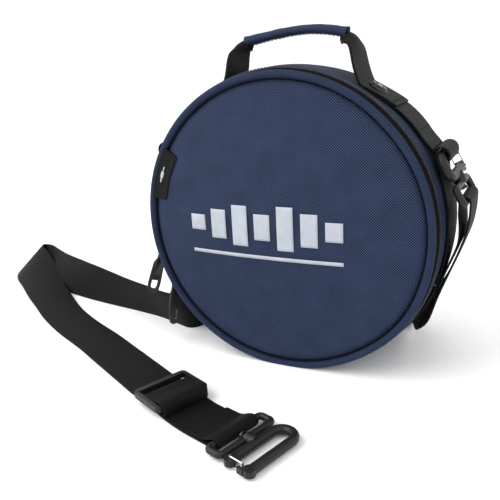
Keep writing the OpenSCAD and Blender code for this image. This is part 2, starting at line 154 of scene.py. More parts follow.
def woven(name, dark, light, pitch, rough=0.62, depth=0.00035):
    """Basket-woven nylon: raised tufts in offset rows, with painted highlight on their tops and
    painted shade in the gaps between them.
    """
    s = Shader(name, rough=rough, spec=0.08, Sheen_Weight=0.01, Sheen_Roughness=0.4)
    u, v, where = s.cloth_axes()
    u, v = s.math("ADD", u, v), s.math("SUBTRACT", u, v)
    k = math.pi / pitch
    a = s.math("ABSOLUTE", s.math("SINE", s.math("MULTIPLY", u, k)))
    b = s.math("ABSOLUTE", s.math("SINE", s.math("MULTIPLY", v, k)))
    tuft = s.math("POWER", s.math("MULTIPLY", a, b), 1.1)
    shade = s.math("MULTIPLY_ADD", s.noise(where, 0.05, 3), 0.24, -0.12)
    grain = s.math("MULTIPLY_ADD", s.noise(where, 1.7, 2), 0.5, -0.25)
    fac = s.math("ADD", s.math("ADD", tuft, shade), grain)
    fac.node.use_clamp = True
    # The colour runs from painted shade in the gaps to painted highlight on the tuft tops; the two
    # noises add random tone.
    s.set("Base Color", s.blend(fac, dark, light))
    s.bump(tuft, 0.55, depth)
    return s.mat


def webbing(name, dark, light, rib=1.15, rough=0.6, depth=0.0003):
    """Flat woven strap: ribs along it, crossed by the fine step of the weft, with painted
    highlight on the raised ribs and painted shade in the grooves.
    """
    s = Shader(name, rough=rough, spec=0.08, Sheen_Weight=0.006, Sheen_Roughness=0.5)
    u, v, where = s.cloth_axes()
    ribs = s.math("ABSOLUTE", s.math("SINE", s.math("MULTIPLY", v, math.pi / rib)))
    step = s.math("ABSOLUTE", s.math("SINE", s.math("ADD", s.math("MULTIPLY", u, math.pi / 1.5),
                                                  s.math("MULTIPLY", v, math.pi / (2 * rib)))))
    height = s.math("MULTIPLY", ribs, s.math("MULTIPLY_ADD", step, 0.4, 0.6))
    fac = s.math("ADD", s.math("MULTIPLY", height, 0.7),
                 s.math("MULTIPLY_ADD", s.noise(where, 0.25, 3), 0.6, -0.2))
    fac.node.use_clamp = True
    # The colour runs from painted shade in the grooves to painted highlight on the rib tops, with
    # random tone from the noise.
    s.set("Base Color", s.blend(fac, dark, light))
    s.bump(height, 0.5, depth)
    return s.mat


def moulded(name, color, rough, speck=0.0, **more):
    s = Shader(name, color, rough, **more)
    where = s.place()
    grain = s.noise(where, 2600, 2)
    s.set("Roughness", s.math("MULTIPLY_ADD", s.noise(where, 240, 3), 0.16, rough - 0.08))
    s.bump(grain, 0.12 + speck, 0.00006)
    lighter = tuple(min(1, c * 1.5 + 0.002) for c in color)
    s.set("Base Color", s.blend(s.noise(where, 90, 3), color, lighter))
    return s.mat


M = {
    # Woven and webbing colours: first the painted shade of the gaps and grooves, then the painted
    # highlight of the raised tops.
    "weave": woven("navy_weave", (0.0004, 0.0008, 0.003), (0.050, 0.076, 0.156), 2.0),
    "wall": woven("navy_wall_weave", (0.0004, 0.0008, 0.003), (0.048, 0.073, 0.150), 2.0),
    # The welt's nearly black colour is painted shade: the dark line of the groove between each
    # face and its piping.
    "piping": woven("navy_piping", (0.003, 0.006, 0.016), (0.036, 0.056, 0.118), 1.6),
    "welt": woven("navy_welt_painted_shade", (0.0006, 0.001, 0.0025), (0.004, 0.006, 0.012), 1.85),
    "webbing": webbing("black_webbing", (0.0016, 0.0016, 0.0017), (0.0095, 0.0095, 0.0098)),
    "tape": webbing("zipper_tape", (0.001, 0.001, 0.0011), (0.005, 0.005, 0.0052),
                    0.8, 0.8, 0.0002),
    "thread": moulded("black_thread", (0.012, 0.012, 0.013), 0.7, spec=0.1),
    "navy_thread": moulded("navy_thread", (0.02, 0.03, 0.07), 0.7, spec=0.1),
    "coil": moulded("zipper_coil", (0.014, 0.014, 0.016), 0.4, spec=0.35),
    "plastic": moulded("hook_plastic", (0.006, 0.006, 0.0065), 0.42, 0.05, spec=0.3),
    "black_metal": moulded("black_metal", (0.006, 0.006, 0.007), 0.3, spec=0.4),
    "steel": moulded("steel_wire", (0.62, 0.62, 0.62), 0.25, metal=1.0),
    "lining": woven("lining_tricot", (0.012, 0.013, 0.018), (0.035, 0.037, 0.045),
                    0.8, 0.85, 0.0001),
    "mesh": woven("pocket_mesh", (0.002, 0.002, 0.003), (0.045, 0.045, 0.05), 2.4, 0.7, 0.0006),
    "foam": moulded("foam", (0.09, 0.09, 0.095), 0.9, 0.4),
    "board": moulded("board", (0.2, 0.2, 0.2), 0.8),
    "patch": moulded("patch_rubber", (0.003, 0.003, 0.0035), 0.6, 0.1, spec=0.12),
    "print": moulded("silver_print", (0.30, 0.32, 0.355), 0.6, spec=0.2),
    "rim_grey": moulded("rivet_rim", (0.05, 0.05, 0.055), 0.4, metal=1.0),
}

# ---------------------------------------------------------------- mesh helpers


def make(name, verts, faces, cloth, mat, body):
    """verts in millimetres; cloth holds one (along, across) pair per face corner."""
    me = bpy.data.meshes.new(name)
    me.from_pydata([(x * MM, y * MM, z * MM) for x, y, z in verts], [], faces)
    if cloth:
        at = me.attributes.new("cloth", "FLOAT_VECTOR", "CORNER")
        flat = [c for face in cloth for u, v in face for c in (u, v, 0.0)]
        at.data.foreach_set("vector", flat)
    me.validate()
    me.shade_smooth()
    me.materials.append(M[mat])
    obj = bpy.data.objects.new(name, me)
    bpy.context.scene.collection.objects.link(obj)
    if body:
        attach(obj, body)
    return obj


def polar(a, r, y):
    t = math.radians(a)
    return (r * math.cos(t), y, ZC + r * math.sin(t))


def swell(a):
    """The soft case is a little out of round: full at the lower right, flat at the upper right."""
    a = (a + 180) % 360 - 180
    return 1.3 * math.exp(-((a + 33) / 17) ** 2) - 0.9 * math.exp(-((a - 42) / 18) ** 2)


def settle(p, floor):
    """Presses what is below the floor flat, with a soft edge."""
    x, y, z = p
    k = 0.5
    d = (z - floor) / k
    if d > 30:
        return p
    return (x, y, floor + k * math.log1p(math.exp(d)))


def revolve(name, profile, a0, a1, steps, mat, body, floor=None, shape=None):
    """Turns a closed profile of (radius, y) round the case's axis between two angles."""
    whole = abs(a1 - a0) >= 359.9
    n = len(profile)
    rows = steps if whole else steps + 1
    verts = []
    for i in range(rows):
        a = a0 + (a1 - a0) * i / steps
        for r, y in profile:
            rr, yy = r + swell(a) * min(1, r / 100), y
            if shape:
                rr, yy = shape(a, rr, yy)
            p = polar(a, rr, yy)
            verts.append(settle(p, floor) if floor is not None else p)
    along = [0.0]
    for j in range(n):
        q, p = profile[(j + 1) % n], profile[j]
        along.append(along[-1] + math.hypot(q[0] - p[0], q[1] - p[1]))
    faces, cloth = [], []
    big = max(r for r, _ in profile)
    for i in range(steps):
        u0 = math.radians(a0 + (a1 - a0) * i / steps) * big
        u1 = math.radians(a0 + (a1 - a0) * (i + 1) / steps) * big
        for j in range(n):
            k = (j + 1) % n
            i1 = (i + 1) % rows
            faces.append((i * n + j, i * n + k, i1 * n + k, i1 * n + j))
            cloth.append(((u0, along[j]), (u0, along[j + 1]), (u1, along[j + 1]), (u1, along[j])))
    if not whole:
        faces.append(tuple(range(n))[::-1])
        cloth.append(tuple(profile[j] for j in range(n))[::-1])
        last = (rows - 1) * n
        faces.append(tuple(last + j for j in range(n)))
        cloth.append(tuple(profile[j] for j in range(n)))
    return make(name, verts, faces, cloth, mat, body)


def dome(name, radius, depth, mat, body, floor, wobble):
    """A crowned disc; depth(r) gives y. Its cloth runs straight across, as the panel is cut."""
    rings, steps = 40, 160
    inner_step = 1.18885  # even rings up to 0.8 of the count, which the sine then meets
    verts, faces, cloth = [(0.0, depth(0.0), ZC)], [], []
    for j in range(1, rings + 1):
        if j > rings * 0.8:
            r = radius * math.sin(math.pi / 2 * j / rings)
        else:
            r = radius * j / rings * inner_step
        r = min(r, radius)
        for i in range(steps):
            a = 360 * i / steps
            x, _, z = polar(a, r + swell(a) * (r / 120) ** 3, 0)
            ripple = wobble * noise.noise(Vector((x * 0.03, 4.2, z * 0.03)))
            y = depth(r) + ripple * min(1, (radius - r) / 18)
            verts.append(settle((x, y, z), floor))

    def uv(i):
        return (verts[i][0], verts[i][2])

    for i in range(steps):
        f = (0, 1 + i, 1 + (i + 1) % steps)
        faces.append(f)
        cloth.append(tuple(uv(q) for q in f))
    for j in range(rings - 1):
        for i in range(steps):
            b, c = 1 + j * steps, 1 + (j + 1) * steps
            f = (b + i, c + i, c + (i + 1) % steps, b + (i + 1) % steps)
            faces.append(f)
            cloth.append(tuple(uv(q) for q in f))
    return make(name, verts, faces, cloth, mat, body)


def spline(points, steps):
    """Catmull-Rom through tuples of any length."""
    def at(i):
        return points[max(0, min(len(points) - 1, i))]
    out = []
    for i in range(len(points) - 1):
        a, b, c, d = at(i - 1), at(i), at(i + 1), at(i + 2)
        for k in range(steps):
            t = k / steps
            out.append(tuple(
                0.5 * (2 * q + (r - p) * t + (2 * p - 5 * q + 4 * r - s) * t * t
                       + (3 * q - p - 3 * r + s) * t ** 3) for p, q, r, s in zip(a, b, c, d)))
    out.append(tuple(points[-1]))
    return out


def ribbon(name, stations, thick, mat, body, low=0.0):
    """A woven band. stations: (x, y, z, hx, hy, hz), its middle and half-width vector."""
    pts = [Vector(s[:3]) for s in stations]
    half = [Vector(s[3:6]) for s in stations]
    spans = (-1, -0.94, -0.8, -0.6, -0.4, -0.2, 0, 0.2, 0.4, 0.6, 0.8, 0.94, 1)
    section = [(-0.985, 0.12)] + [(s, 0.0) for s in spans[1:-1]]
    section += [(0.985, 0.12), (1.0, 0.5), (0.985, 0.88)]
    section += [(s, 1.0) for s in spans[-2:0:-1]] + [(-0.985, 0.88), (-1.0, 0.5)]
    n, verts, run = len(section), [], [0.0]
    for i, (c, h) in enumerate(zip(pts, half)):
        ahead = pts[min(i + 1, len(pts) - 1)] - pts[max(i - 1, 0)]
        normal = ahead.normalized().cross(h).normalized()
        if i:
            run.append(run[-1] + (c - pts[i - 1]).length)
        for s, t in section:
            verts.append(tuple(c + h * s + normal * (low + t * thick)))
    faces, cloth = [], []
    for i in range(len(pts) - 1):
        w = half[i].length
        for j in range(n):
            k = (j + 1) % n
            faces.append((i * n + j, i * n + k, (i + 1) * n + k, (i + 1) * n + j))
            vj, vk = section[j][0] * w, section[k][0] * w
            cloth.append(((run[i], vj), (run[i], vk), (run[i + 1], vk), (run[i + 1], vj)))
    faces.append(tuple(range(n))[::-1])
    cloth.append(tuple((s * WEB_HALF, t) for s, t in section)[::-1])
    last = (len(pts) - 1) * n
    faces.append(tuple(last + j for j in range(n)))
    cloth.append(tuple((s * WEB_HALF, t) for s, t in section))
    return make(name, verts, faces, cloth, mat, body)


def stitches(name, points, normals, mat, body, pitch=3.0, length=2.2, r=0.3):
    """A row of thread stitches that lie on a surface along a line."""
    pts = [Vector(p) for p in points]
    run = [0.0]
    for a, b in zip(pts, pts[1:]):
        run.append(run[-1] + (b - a).length)

    def at(d):
        i = 0
        while i < len(run) - 2 and run[i + 1] < d:
            i += 1
        t = (d - run[i]) / max(1e-9, run[i + 1] - run[i])
        normal = Vector(normals[i]).lerp(Vector(normals[i + 1]), t).normalized()
        return pts[i].lerp(pts[i + 1], t), normal

    verts, faces = [], []
    count = int(run[-1] / pitch)
    for q in range(count):
        mid = (q + 0.5) * run[-1] / count
        p0, n0 = at(mid - length / 2)
        p1, _ = at(mid + length / 2)
        side = (p1 - p0).cross(n0).normalized()
        base = len(verts)
        for t, w, lift in ((0, 0.35, -0.5), (0.2, 0.9, 0.6), (0.8, 0.9, 0.6), (1, 0.35, -0.5)):
            c = p0.lerp(p1, t) + n0 * (r * lift)
            for a in range(6):
                g = a * math.pi / 3
                verts.append(tuple(c + side * (r * w * math.cos(g)) + n0 * (r * w * math.sin(g))))
        for k in range(3):
            for a in range(6):
                b, row = (a + 1) % 6, base + k * 6
                faces.append((row + a, row + b, row + 6 + b, row + 6 + a))
        faces.append(tuple(base + a for a in range(6))[::-1])
        faces.append(tuple(base + 18 + a for a in range(6)))
    return make(name, verts, faces, None, mat, body)


def turned(name, profile, matrix, mat, body, steps=48):
    """A lathe piece of (radius, height) about a matrix's Z, profile from centre to centre."""
    verts, faces = [], []
    n = len(profile)
    for i in range(steps):
        t = 2 * math.pi * i / steps
        for r, h in profile:
            verts.append(tuple(matrix @ Vector((r * math.cos(t), r * math.sin(t), h))))
    for i in range(steps):
        k = (i + 1) % steps
        for j in range(n - 1):
            faces.append((i * n + j, k * n + j, k * n + j + 1, i * n + j + 1))
    return make(name, verts, faces, None, mat, body)


def plate(name, outline, holes, thick, bevel, matrix, mat, body, twist):
    """A flat stamped piece: an outline with holes and rounded edges, placed by a matrix.
    twist(x) is how far it is turned about its own length at x, in degrees."""
    cu = bpy.data.curves.new(name, "CURVE")
    cu.dimensions, cu.fill_mode = "2D", "BOTH"
    cu.extrude, cu.bevel_depth, cu.bevel_resolution = (thick / 2 - bevel) * MM, bevel * MM, 3
    for loop in [outline, *holes]:
        sp = cu.splines.new("POLY")
        sp.points.add(len(loop) - 1)
        for q, (x, y) in zip(sp.points, loop):
            q.co = (x * MM, y * MM, 0, 1)
        sp.use_cyclic_u = True
    tmp = bpy.data.objects.new(name + "_tmp", cu)
    me = bpy.data.meshes.new_from_object(tmp)
    bpy.data.objects.remove(tmp)
    me.name = name
    for v in me.vertices:
        x, y, z = v.co / MM
        g = math.radians(twist(x))
        y, z = y * math.cos(g) - z * math.sin(g), y * math.sin(g) + z * math.cos(g)
        v.co = (matrix @ Vector((x, y, z))) * MM
    me.materials.clear()
    me.materials.append(M[mat])
    me.shade_smooth()
    obj = bpy.data.objects.new(name, me)
    bpy.context.scene.collection.objects.link(obj)
    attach(obj, body)
    return obj


def paint(mat, *nodes):
    """A better material for CAD nodes that stay."""
    for node in nodes:
        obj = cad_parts[node]
        obj.data.materials.clear()
        obj.data.materials.append(M[mat])


# ---------------------------------------------------------------- the shoulder strap

# Stations of the webbing: its middle, and the vector from there to its edge. OUTER goes down from
# the clipped hook, SHARED runs behind the case and round to the front, RUN is the straight part
# that the adjuster slides on, and TAIL ends at the loose hook. INNER is the layer sewn back.
OUTER = [(137.4, 0, 131.5, 0, 19.6, 0), (135.5, 0, 118, 0, 20, 0), (130.5, 0, 102, 0, 20, 0),
         (123, 0, 82, 0, 20, 0), (116.5, 2, 66, 0, 19.8, 2)]
INNER = [(129.8, 0, 131.5, 0, 19.6, 0), (130.8, 0, 121, 0, 20, 0), (130.4, 0, 111, 0, 20, 0),
         (127.4, 0, 101, 0, 20, 0), (120.1, 0, 82, 0, 20, 0), (113.9, 2, 66, 0, 19.8, 2)]
SHARED = [(108, 16, 46, 1, 17, 10), (100.5, 34, 32, 6, 12, 15), (95, 54, 24, 8, 5, 17.5),
          (84, 69, 20.5, 3, 1, 19.8), (64, 76, 20.5, 0, 0, 20), (35, 77, 20.5, 0, 0, 20),
          (0, 76, 20.5, 0, 0, 20), (-35, 76, 20.5, 0, 0, 20), (-70, 74, 20.5, 0, 0, 20),
          (-94, 62, 20.5, 0, 0, 20), (-103, 40, 20.5, 0, 0, 20), (-104, 16, 20.5, 0, 0, 20),
          (-104, -4, 20.5, 0, -2, 20), (-113, -16, 20, 0, -5, 19.5), (-130, -14, 19.5, -1, -7, 19),
          (-155, -6, 19.5, -1, -7, 19), (-190, 2, 20, 0, -5, 19.5), (-230, 12, 20.5, 0, 0, 20),
          (-270, 23, 20.5, 1, 5, 19.5), (-310, 36, 20.5, 4, 8, 18.5), (-345, 51, 20, 10, 10, 17),
          (-372, 63, 19.5, 15, 9, 18), (-384, 64, 19, 17, 8, 18), (-381, 57, 18.5, 17, 8, 18),
          (-366, 46, 17, 16, 12, 15.5), (-345, 33, 12, 14, 15, 10), (-318, 14, 5.5, 12, 17, 4),
          (-288, -6, 1.2, 11.5, 17, 0.4), (-256.5, -27, 0.2, 10.5, 17.2, 0),
          (-221, -46.5, 0.2, 9.5, 17.6, 0)]
RUN_C, RUN_S = math.cos(math.radians(-27)), math.sin(math.radians(-27))
RUN = [(-180 + s * RUN_C, -65.4 + s * RUN_S, z, -WEB_HALF * RUN_S, WEB_HALF * RUN_C, 0)
       for s, z in ((0, 0.2), (30, 0.2), (60, 0.2), (90, 0.2), (104, 0.2), (126, 1.8), (142, 1.8))]
TAIL = [(-36, -137.4, 0.3, 8, 18.3, 0), (-22, -142.8, 0.4, 6.6, 18.9, 0),
        (2, -150.1, 0.2, 6.2, 19, 0)]

strap_line = spline(OUTER + SHARED + RUN + TAIL, 5)
strap = ribbon("shoulder_strap", strap_line, WEB_T, "webbing", None)
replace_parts(strap, "strap_main")
# measured on the route drawn here, so it isn't an independent length
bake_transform(strap)

tail_line = spline(INNER, 6)
strap_tail = ribbon("strap_sewn_tail", tail_line, WEB_T, "webbing", None)
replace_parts(strap_tail, "strap_tail")
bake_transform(strap_tail)

# ---------------------------------------------------------------- lid


def lid_depth(r):
    t = min(1.0, r / 113.2)
    y = -45.6 - 9 * (1 - t * t)
    edge = max(0.0, (r - 105) / 8.2)
    return y + 2.6 * edge ** 3


lid_face = dome("lid_face", PANEL_R, lid_depth, "weave", "lid", 4.6, 1.2)
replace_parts(lid_face, "lid_panel")


def cord_profile(r, y, sides=16):
    """The round section of a piping cord."""
    angles = [2 * math.pi * k / sides for k in range(sides)]
    return [(r + CORD_R * math.cos(g), y + CORD_R * math.sin(g)) for g in angles]


rim = revolve("lid_rim_piping", cord_profile(LID_RIM_R, -RIM_Y), 0, 360, 240,
              "piping", "lid", floor=0.0)
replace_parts(rim, "lid_piping")
# The welt in the groove behind the lid's piping is coloured nearly black as painted shade.
revolve("lid_rim_welt",
        [(111.5, -43.2), (115.2, -44.2), (118.0, -42.4), (118.0, -41.2), (111.5, -41.8)],
        0, 360, 180, "welt", "lid", floor=0.6)

# ---------------------------------------------------------------- zipper

ZIP0, ZIP1 = -42, 222  # the zipper's two ends, in degrees
lid_tape = [(117.3, -42.2), (118.3, -42.4), (119.6, -38), (120.0, -34.6), (119.2, -34.5),
            (118.4, -38)]
case_tape = [(118.6, -33.5), (119.9, -33.5), (119.9, -31.4), (119.3, -28.6), (118.4, -28.6)]
tape_lid = revolve("zipper_tape_on_lid", lid_tape, ZIP0, ZIP1, 200, "tape", "lid")
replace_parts(tape_lid, "zipper_tape_lid")
tape_body = revolve("zipper_tape_on_case", case_tape, ZIP0, ZIP1, 200,
                    "tape", "case")
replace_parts(tape_body, "zipper_tape_body")


def coil(name, y0, y1, phase, body):
    """One side of a coil zipper: rounded loops side by side along the tape's edge."""
    verts, faces = [], []
    pitch = 1.75
    count = int(math.radians(ZIP1 - ZIP0) * 121 / pitch)
    ring = ((0.35, 0.0), (0.75, 0.25), (0.95, 0.5), (0.75, 0.75), (0.35, 1.0))
    for q in range(count):
        a = ZIP0 + (ZIP1 - ZIP0) * (q + 0.5 + phase) / (count + 1)
        base = len(verts)
        for w, t in ring:
            y = y0 + (y1 - y0) * t
            for da, dr in ((-0.42, 0.0), (-0.30, 1.2), (0.0, 1.9), (0.30, 1.2), (0.42, 0.0)):
                g = a + math.degrees(da * pitch * (0.6 + 0.5 * w) / 121)
                r = COIL_R + swell(a) + dr * (0.55 + 0.5 * w)
                verts.append(polar(g, r, y))
        for j in range(4):
            for k in range(4):
                b = base + j * 5 + k
                faces.append((b, b + 1, b + 6, b + 5))
        faces.append(tuple(base + k for k in range(5))[::-1])
        faces.append(tuple(base + 20 + k for k in range(5)))
        faces.append(tuple(base + k for k in (0, 5, 10, 15, 20, 24, 19, 14, 9, 4)))
    return make(name, verts, faces, None, "coil", body)


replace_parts(coil("zipper_coil_on_lid", -36.5, -34.25, 0.0, "lid"), "zipper_teeth_lid")
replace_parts(coil("zipper_coil_on_case", -33.75, -31.9, 0.5, "case"), "zipper_teeth_body")
paint("steel", "zipper_stops")
seam_angles = [ZIP0 + 1 + (ZIP1 - ZIP0 - 2) * i / 240 for i in range(241)]
seam_normals = [(math.cos(math.radians(a)), 0, math.sin(math.radians(a))) for a in seam_angles]
for side, r, y, thread, slot in (("lid", 119.6, -38.6, "thread", "zipper_tape"),
                                 ("case", 121.7, -30.2, "navy_thread", "navy_nylon")):
    stitches("zipper_stitch_" + side, [polar(a, r + swell(a), y) for a in seam_angles],
             seam_normals, thread, side)

# ---------------------------------------------------------------- side wall, hinge band and back


def wall_at(y):
    """The wall's radius: a shallow curve from front to back."""
    return WALL_R - 0.00177 * (y + 4) ** 2


def press(a):
    """How far the riveted webbing pulls the soft wall in, near its top."""
    return -4.2 * math.exp(-((min(abs(a - 60), abs(a - 120)) / 13) ** 2))


def slump(a, y):
    """The soft top sinks a little towards the back."""
    t = max(0.0, min(1.0, (y + 22) / 60))
    return -3.0 * math.exp(-((a - 88) / 34) ** 2) * t * t * (3 - 2 * t)


def give(a, y):
    """How far the wall has given way there, by its slump or under the webbing."""
    return min(slump(a, y), press(a) * max(0.0, 1 - (y / 36) ** 2))


def wall_shape(a, r, y):
    """Soft wrinkles: the wall sags a little between its seams."""
    g = math.radians(a)
    ripple = noise.noise(Vector((math.cos(g) * 3, math.sin(g) * 3, y * 0.03)))
    return r + 0.5 * ripple * max(0.0, 1 - ((y - 5) / 40) ** 2) + give(a, y), y


outside = [(wall_at(y), y) for y in (-30.8, -29, -26, -22, -18, -14, -9, -4, 1, 6, 11, 16, 21,
                                     26, 31, 36, 39, 41)]
wall_profile = [(119.7, -31.2), (120.3, -31.9), (120.9, -31.7)] + outside
wall_profile += [(117.6, 41.6), (117.0, 40.0), (119.6, 20), (120.4, 0), (119.2, -28)]
wall = revolve("side_wall_cloth", wall_profile, 0, 360, 300, "wall", "case",
               floor=0.0, shape=wall_shape)
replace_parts(wall, "side_wall")

band_profile = [(117.9, -42.6), (118.9, -42.8), (120.2, -38), (121.3, -32.0), (120.6, -31.2),
                (119.4, -32.4), (118.6, -38)]
band = revolve("hinge_band_cloth", band_profile, ZIP1 + 1.4, 360 + ZIP0 - 1.4, 90,
               "wall", None, floor=0.0)
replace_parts(band, "hinge_band")
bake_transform(band)


def back_depth(r):
    t = min(1.0, r / 113.2)
    y = 45.2 + 3.5 * (1 - t * t)
    edge = max(0.0, (r - 106) / 7.4)
    return y - 2.4 * edge ** 3


def rim_shape(a, r, y):
    """The back's rim sinks with the wall at the top."""
    return r + slump(a, y) * min(1, r / 112), y


back_face = dome("back_face", PANEL_R, back_depth, "weave", "case", 4.6, 0.9)
back_face.data.flip_normals()
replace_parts(back_face, "back_panel")
back_rim = revolve("back_rim_piping", cord_profile(BACK_RIM_R, RIM_Y), 0, 360, 240,
                   "piping", "case", floor=0.0, shape=rim_shape)
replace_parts(back_rim, "back_piping")
# The welt in the groove behind the back's piping is coloured nearly black as painted shade.
revolve("back_rim_welt",
        [(110.5, 43.0), (114.2, 44.4), (117.2, 42.6), (117.2, 41.0), (110.5, 41.2)],
        0, 360, 180, "welt", "case", floor=0.6, shape=rim_shape)
paint("board", "back_board", "lid_board")
paint("foam", "lid_foam")


def foam_shape(a, r, y):
    """The foam gives way under the webbing, as the cloth over it does."""
    return (max(115.4, r + give(a, y)) if r > 116 else r), y


foam_profile = [(wall_at(y) - 2.4, y) for y in (-28, -20, -12, -4, 4, 12, 20, 28, 36, 39.5)]
foam_profile += [(115.1, 39.5), (115.1, -28)]
foam = revolve("wall_foam_layer", foam_profile, 0, 360, 120, "foam", "case",
               floor=2.2, shape=foam_shape)
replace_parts(foam, "wall_foam")

# ---------------------------------------------------------------- inside

case_lining = [(114.9, -30.0), (119.4, -30.4), (119.6, -28.6), (115.2, -27.8), (114.7, -22),
               (114.6, 0), (114.6, 30), (113.6, 37.5), (109, 39.4), (60, 39.5), (0.01, 39.5),
               (0.01, 40.2), (112, 40.2), (114.9, 38), (115.1, -27)]
lid_lining = [(111.6, -41.6), (113.2, -40.9), (113.6, -39.6), (112.6, -38.6), (110, -38.3),
              (60, -38.25), (0.01, -38.2), (0.01, -38.9), (111, -39.2)]
cup = revolve("body_lining_cloth", case_lining, 0, 360, 180, "lining", "case", floor=3.6)
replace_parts(cup, "body_lining")
lid_inside = revolve("lid_lining_cloth", lid_lining, 0, 360, 180, "lining", "lid",
                     floor=5.0)
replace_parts(lid_inside, "lid_lining")


def half_disc(name, y, thick, radius, top, mat, body, bulge):
    """The pocket: mesh sewn round its curved edge, slack in the middle."""
    verts, faces, cloth = [], [], []
    nx, nz = 60, 34
    low = ZC - radius
    for side in (0, 1):
        for j in range(nz + 1):
            z = low + (top - low) * j / nz
            w = math.sqrt(max(0.0, radius ** 2 - (z - ZC) ** 2))
            for i in range(nx + 1):
                s = 2 * i / nx - 1
                x = w * s
                f = max(0.0, 1 - (x * x + (z - ZC) ** 2) / radius ** 2)
                ripple = 0.85 + 0.3 * noise.noise(Vector((x * 0.03, 9, z * 0.03)))
                verts.append((x, y + bulge * f ** 0.7 * ripple + thick * side, z))
    step = nx + 1
    size = step * (nz + 1)
    for side in (0, 1):
        for j in range(nz):
            for i in range(nx):
                b = side * size + j * step + i
                f = (b, b + 1, b + 1 + step, b + step)
                faces.append(f[::-1] if side else f)
                cloth.append(tuple((verts[q][0], verts[q][2]) for q in faces[-1]))
    for i in range(nx):
        b = nz * step + i
        faces.append((b, b + 1, b + 1 + size, b + size))
        cloth.append(((0, 0), (1, 0), (1, 1), (0, 1)))
    return make(name, verts, faces, cloth, mat, body)


pocket = half_disc("mesh_pocket_cloth", -38.0, 0.5, 110.0, 130.5, "mesh", "lid", 1.6)
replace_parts(pocket, "mesh_pocket")
edge = [(x, -37.0 + 1.4 * max(0, 1 - (x / 110) ** 2), 135.2, 0, 0, 4.6)
        for x in range(-108, 109, 8)]
binding = ribbon("pocket_binding_tape", edge, 1.2, "webbing", "lid", low=-0.6)
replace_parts(binding, "pocket_binding")

# ---------------------------------------------------------------- port flap and print


def on_lid(r, a, lift):
    x, _, z = polar(a, r + swell(a), 0)
    return (x, lid_depth(min(r, 106)) - lift, z)


def lid_patch(name, r0, r1, a0, a1, corner, lift, thick, mat):
    """A rounded patch that follows the lid, in rings that shrink towards its middle."""
    nr, na = 14, 40

    def outline(g):
        """The rounded rectangle, drawn in by g all round."""
        pts = []
        for q in range(4 * na):
            side, t = divmod(q, na)
            t /= na
            x, y = ((2 * t - 1, -1), (1, 2 * t - 1), (1 - 2 * t, 1), (-1, 1 - 2 * t))[side]
            hx, hy = (r1 - r0) / 2 - g, math.radians(a1 - a0) / 2 * (r0 + r1) / 2 - g
            px, py = x * hx, y * hy
            c = max(0.2, corner - g)
            ex, ey = abs(px) - (hx - c), abs(py) - (hy - c)
            if ex > 0 and ey > 0:
                d = math.hypot(ex, ey)
                if d > c:
                    px = math.copysign(hx - c + ex * c / d, px)
                    py = math.copysign(hy - c + ey * c / d, py)
            pts.append((px, py))
        return pts
    rm, am = (r0 + r1) / 2, (a0 + a1) / 2
    verts, faces, cloth = [], [], []
    loops = [(0.0, -0.4), (0.0, thick * 0.6), (0.25, thick * 0.92), (0.6, thick)]
    loops += [(0.6 + (min(r1 - r0, 40) / 2 - 0.8) * k / nr, thick) for k in range(1, nr + 1)]
    for g, h in loops:
        for px, py in outline(g):
            verts.append(on_lid(rm + px, am + math.degrees(py / rm), lift + h))
    n = 4 * na
    for j in range(len(loops) - 1):
        for q in range(n):
            k = (q + 1) % n
            f = (j * n + q, j * n + k, (j + 1) * n + k, (j + 1) * n + q)
            faces.append(f)
            cloth.append(tuple((verts[c][0], verts[c][2]) for c in f))
    f = tuple((len(loops) - 1) * n + q for q in range(n))
    faces.append(f)
    cloth.append(tuple((verts[c][0], verts[c][2]) for c in f))
    return make(name, verts, faces, cloth, mat, "lid")


flap = lid_patch("port_flap", 101.6, 115.8, 147.6, 169.8, 2.5, 0.2, 1.3, "patch")
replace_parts(flap, "port_patch")
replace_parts(flap, "port_welt")
edge_a = [148.8 + (168.6 - 148.8) * i / 30 for i in range(31)]
loop_pts = [on_lid(102.9, a, 1.6) for a in edge_a]
loop_pts += [on_lid(r, 168.6, 1.6) for r in (105, 108, 111, 114.4)]
loop_pts += [on_lid(114.6, a, 1.6) for a in edge_a[::-1]]
loop_pts += [on_lid(r, 148.8, 1.6) for r in (112, 109, 106, 102.9)]
stitches("port_stitch", loop_pts, [(0, -1, 0)] * len(loop_pts), "thread", "lid",
         2.2, 1.5, 0.22)


def lid_print(name, shapes, mat, lift, thick=0.12):
    """Flat printed boxes (x0, z0, x1, z1), each cut into small squares to follow the crown."""
    verts, faces = [], []
    for x0, z0, x1, z1 in shapes:
        nx, nz = max(1, int((x1 - x0) / 2)), max(1, int((z1 - z0) / 2))
        base = len(verts)
        for side in (0, 1):
            for j in range(nz + 1):
                for i in range(nx + 1):
                    x, z = x0 + (x1 - x0) * i / nx, z0 + (z1 - z0) * j / nz
                    r = math.hypot(x, z - ZC)
                    verts.append((x, lid_depth(r) - lift - thick * side, z))
        s, size = nx + 1, (nx + 1) * (nz + 1)
        for j in range(nz):
            for i in range(nx):
                b = base + size + j * s + i
                faces.append((b, b + 1, b + s + 1, b + s))
        rim_ids = [base + i for i in range(nx + 1)]
        rim_ids += [base + j * s + nx for j in range(1, nz + 1)]
        rim_ids += [base + nz * s + i for i in range(nx - 1, -1, -1)]
        rim_ids += [base + j * s for j in range(nz - 1, 0, -1)]
        for q, k in zip(rim_ids, rim_ids[1:] + rim_ids[:1]):
            faces.append((q, k, k + size, q + size))
    return make(name, verts, faces, None, mat, "lid")


bars = []
for i, h in enumerate((13, 24, 33, 21, 35, 26, 15)):
    x = -10 + (i - 3) * 19.4
    bars.append((x - 6.75, 121.5 - h / 2, x + 6.75, 121.5 + h / 2))
bars.append((-75, 95.5, 55, 98.5))
mark = lid_print("lid_level_bars", bars, "print", 0.75)
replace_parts(mark, "lid_graphic")


